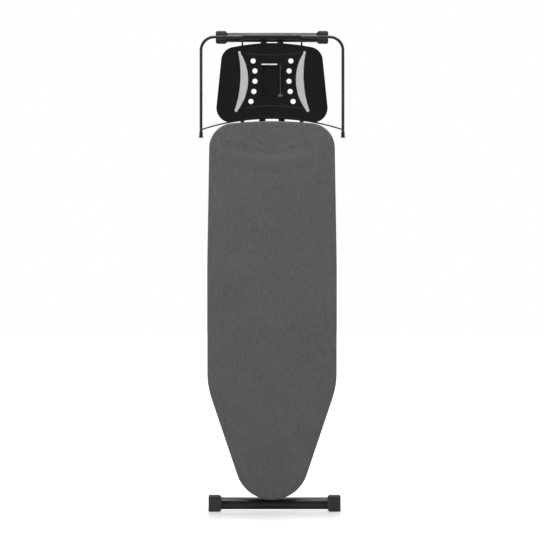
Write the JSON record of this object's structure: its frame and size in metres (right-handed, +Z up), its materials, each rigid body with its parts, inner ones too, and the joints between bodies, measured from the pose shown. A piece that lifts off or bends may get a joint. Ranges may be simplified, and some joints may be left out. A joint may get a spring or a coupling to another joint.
{
  "type": "ironing board",
  "caption": "Folding ironing board with a fabric-covered steel mesh top, an iron rest plate, a hanging rail and scissor legs on T-shaped feet.",
  "frame": {"origin": "middle of the folded board's footprint, on the floor under the larger foot", "axes": "+X to the right of someone facing the ironing surface, +Y from the ironing surface towards the legs, +Z up towards the iron rest"},
  "size_m": [0.5012, 0.086, 1.652],
  "materials": {
    "cover_fabric": "matte",
    "foam": "matte",
    "mesh_steel": "satin",
    "black_steel": "satin",
    "zinc_steel": "satin",
    "black_plastic": "satin",
    "foot_plastic": "matte",
    "grey_plastic": "satin",
    "nylon": "satin",
    "silver_silicone": "satin"
  },
  "bodies": {
    "deck": {"cover": "cover_fabric", "pad": "foam", "deck_mesh": "mesh_steel", "deck_rim": "black_steel", "front_cross_brace": "black_steel", "middle_cross_brace": "black_steel", "rear_cross_brace": "black_steel", "hinge_bracket": "black_steel", "rack_rail_left": "black_steel", "rack_rail_right": "black_steel", "rivets": "zinc_steel", "shaft_bearings": "black_plastic", "lock_post": "black_plastic", "lock_screw": "zinc_steel", "rest_plate": "black_plastic", "pocket_strip": "nylon", "insert_left": "silver_silicone", "insert_right": "silver_silicone", "plate_clips": "black_plastic", "hanging_rail": "black_steel", "rail_grip": "black_plastic", "rail_cap_left": "black_plastic", "rail_cap_right": "black_plastic", "support_wire_left": "black_steel", "support_wire_right": "black_steel", "brace_wire": "black_steel", "wire_socket_left": "black_plastic", "wire_socket_right": "black_plastic"},
    "outer_leg": {"outer_tube_left": "black_steel", "outer_tube_right": "black_steel", "hinge_lug_left": "black_plastic", "hinge_lug_right": "black_plastic", "hinge_rod": "zinc_steel", "hinge_rod_caps": "black_plastic", "outer_foot_bar": "black_steel", "outer_foot_cap_left": "foot_plastic", "outer_foot_cap_right": "foot_plastic", "scissor_bolt": "zinc_steel", "scissor_nut": "zinc_steel", "scissor_spacers": "black_plastic"},
    "inner_leg": {"inner_tube": "black_steel", "pivot_bush": "nylon", "inner_head": "black_plastic", "crossbar": "zinc_steel", "crossbar_glides": "nylon", "inner_foot_bar": "black_steel", "inner_foot_cap_left": "foot_plastic", "inner_foot_cap_right": "foot_plastic"},
    "release_lever": {"release_shaft": "zinc_steel", "height_comb": "black_steel", "lever_arm": "black_steel", "lever_grip": "grey_plastic", "lever_spring": "zinc_steel"},
    "transport_lock": {"lock_toggle": "grey_plastic"},
    "cord_guide": {"guide_rod": "grey_plastic", "guide_base": "grey_plastic", "guide_pin": "zinc_steel"}
  },
  "joints": [
    {"name": "leg_fold", "type": "hinge", "parent": "deck", "child": "outer_leg", "pos_m": [0, -0.018, 0.4061], "axis": [-1, 0, 0], "range_deg": [0, 50]},
    {"name": "scissor", "type": "hinge", "parent": "outer_leg", "child": "inner_leg", "pos_m": [0, 0.003, 0.826], "axis": [-1, 0, 0], "range_deg": [-100, 0]},
    {"name": "height_release", "type": "hinge", "parent": "deck", "child": "release_lever", "pos_m": [0.112, -0.018, 1.2019], "axis": [0, 0, -1], "range_deg": [0, 9], "stiffness_Nm_per_rad": 2, "springref_deg": -11.46},
    {"name": "transport_lock_turn", "type": "hinge", "parent": "deck", "child": "transport_lock", "pos_m": [0, 0.017, 1.2849], "axis": [0, 1, 0], "range_deg": [0, 90]},
    {"name": "cord_guide_lift", "type": "hinge", "parent": "deck", "child": "cord_guide", "pos_m": [0.0285, -0.0348, 1.4273], "axis": [1, 0, 0], "range_deg": [0, 90]}
  ],
  "couplings": [
    {"joint": "scissor", "follows": "leg_fold", "ratio": -2}
  ]
}
